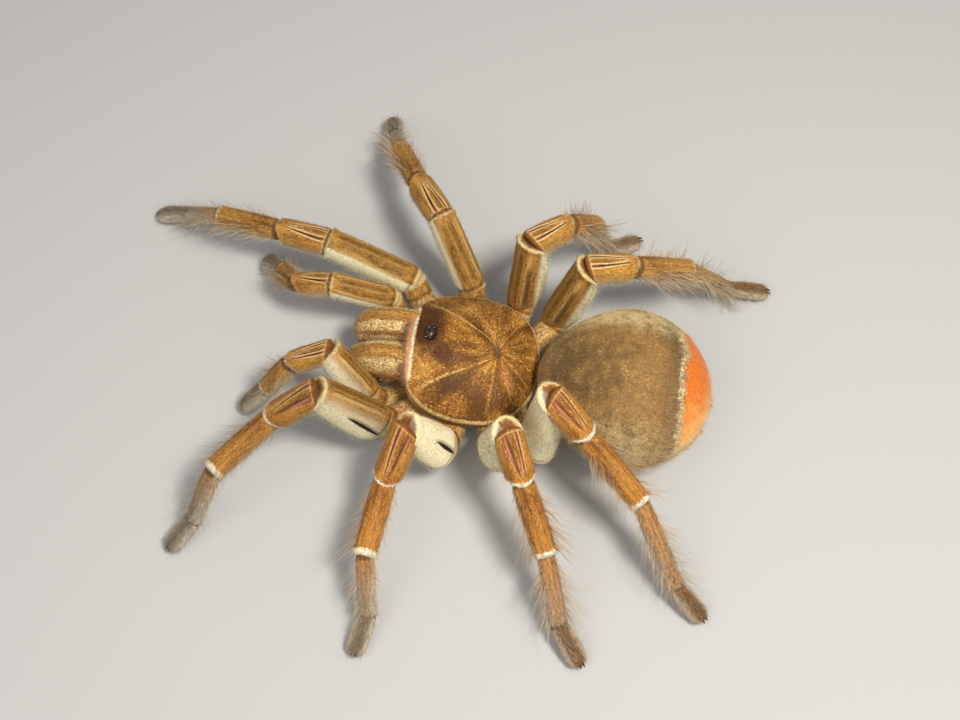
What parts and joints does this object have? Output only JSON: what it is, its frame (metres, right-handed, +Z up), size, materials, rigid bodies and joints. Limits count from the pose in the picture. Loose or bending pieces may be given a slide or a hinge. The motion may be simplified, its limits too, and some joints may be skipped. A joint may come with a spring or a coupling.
{
  "type": "tarantula",
  "caption": "Life-size still model of a large ground tarantula standing on its feet, with domed shield, big oval abdomen, fangs and hairy legs.",
  "frame": {"origin": "bottom centre of the whole animal, on the floor it stands on", "axes": "+Z up; the head faces -Y and the animal's left side is +X"},
  "size_m": [0.1752, 0.1918, 0.0488],
  "materials": {
    "carapace": "short golden-brown velvet of hairs over hard shell",
    "abdomen": "grey-olive brown velvet with a bald orange patch",
    "limb": "rusty golden-brown short hairs with cream ends",
    "foot": "grey-brown pads of dense hairs",
    "underside": "dark brown velvet",
    "eyes": "glossy black-brown",
    "fang": "polished black horn"
  },
  "bodies": {
    "root": {"abdomen": "abdomen", "carapace": "carapace", "chelicera_left": "limb", "chelicera_right": "limb", "eye_mound": "eyes", "fang_left": "fang", "fang_right": "fang", "leg_1_left_coxa": "limb", "leg_1_left_femur": "limb", "leg_1_left_foot": "foot", "leg_1_left_patella": "limb", "leg_1_left_tibia": "limb", "leg_1_right_coxa": "limb", "leg_1_right_femur": "limb", "leg_1_right_foot": "foot", "leg_1_right_patella": "limb", "leg_1_right_tibia": "limb", "leg_2_left_coxa": "limb", "leg_2_left_femur": "limb", "leg_2_left_foot": "foot", "leg_2_left_patella": "limb", "leg_2_left_tibia": "limb", "leg_2_right_coxa": "limb", "leg_2_right_femur": "limb", "leg_2_right_foot": "foot", "leg_2_right_patella": "limb", "leg_2_right_tibia": "limb", "leg_3_left_coxa": "limb", "leg_3_left_femur": "limb", "leg_3_left_foot": "foot", "leg_3_left_patella": "limb", "leg_3_left_tibia": "limb", "leg_3_right_coxa": "limb", "leg_3_right_femur": "limb", "leg_3_right_foot": "foot", "leg_3_right_patella": "limb", "leg_3_right_tibia": "limb", "leg_4_left_coxa": "limb", "leg_4_left_femur": "limb", "leg_4_left_foot": "foot", "leg_4_left_patella": "limb", "leg_4_left_tibia": "limb", "leg_4_right_coxa": "limb", "leg_4_right_femur": "limb", "leg_4_right_foot": "foot", "leg_4_right_patella": "limb", "leg_4_right_tibia": "limb", "palp_left_coxa": "limb", "palp_left_femur": "limb", "palp_left_foot": "foot", "palp_left_patella": "limb", "palp_left_tibia": "limb", "palp_right_coxa": "limb", "palp_right_femur": "limb", "palp_right_foot": "foot", "palp_right_patella": "limb", "palp_right_tibia": "limb", "spinneret_left": "abdomen", "spinneret_right": "abdomen", "sternum": "underside"}
  },
  "joints": []
}
